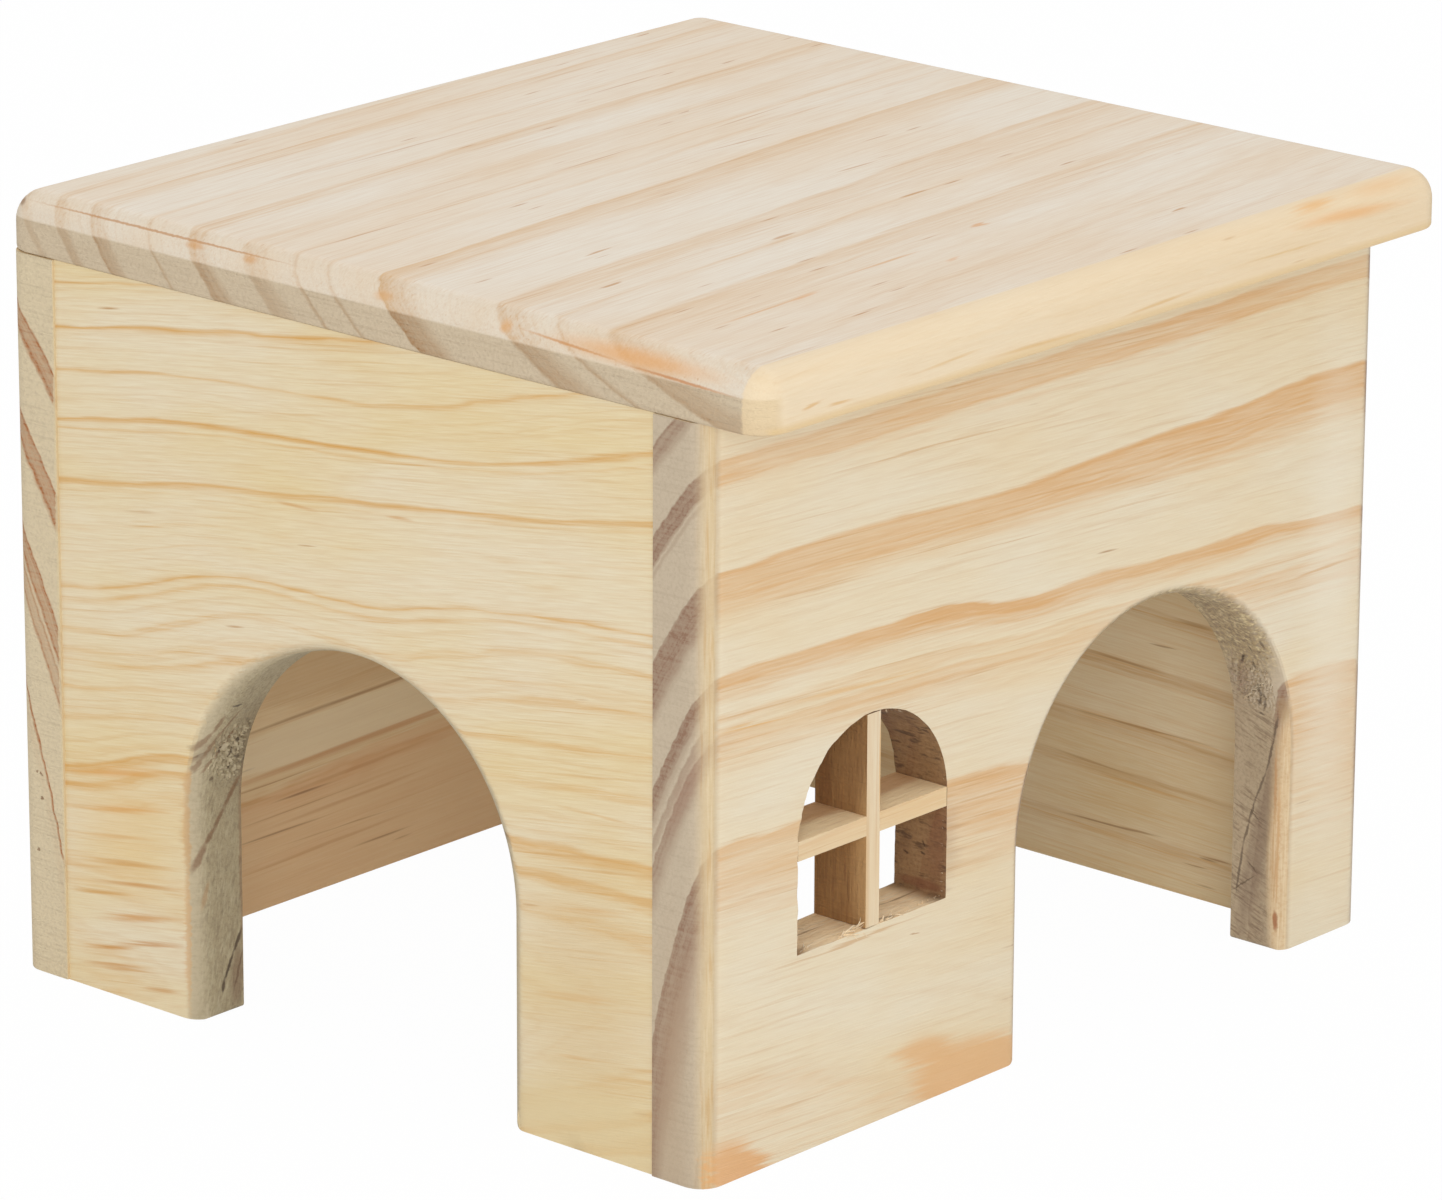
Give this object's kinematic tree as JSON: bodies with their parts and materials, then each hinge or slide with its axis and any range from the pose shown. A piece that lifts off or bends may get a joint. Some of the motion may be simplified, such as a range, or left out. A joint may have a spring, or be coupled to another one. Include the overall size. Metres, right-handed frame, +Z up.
{
  "type": "hamster house",
  "caption": "Wooden shelter for a hamster: five glued boards, arched doorways in the front and left walls, an arched window with crossed bars and a flat overhanging roof.",
  "frame": {"origin": "on the ground, in the middle under the roof board", "axes": "+X to the right along the front wall, +Y from the front wall to the back wall, +Z up"},
  "size_m": [0.15, 0.1454, 0.1183],
  "materials": {
    "roof_pine": "planed and sanded, untreated",
    "front_wall_pine": "planed and sanded, untreated",
    "back_wall_pine": "planed and sanded, untreated",
    "side_wall_pine": "planed and sanded, untreated",
    "bar_pine": "sawn strip, untreated",
    "dowel_beech": "turned, untreated"
  },
  "bodies": {
    "root": {"roof_board": "roof_pine", "front_wall": "front_wall_pine", "back_wall": "back_wall_pine", "left_side_wall": "side_wall_pine", "right_side_wall": "side_wall_pine", "upright_window_bar": "bar_pine", "level_window_bar": "bar_pine", "front_left_dowels": "dowel_beech", "front_right_dowels": "dowel_beech", "back_left_dowels": "dowel_beech", "back_right_dowels": "dowel_beech", "roof_dowels": "dowel_beech"}
  },
  "joints": []
}
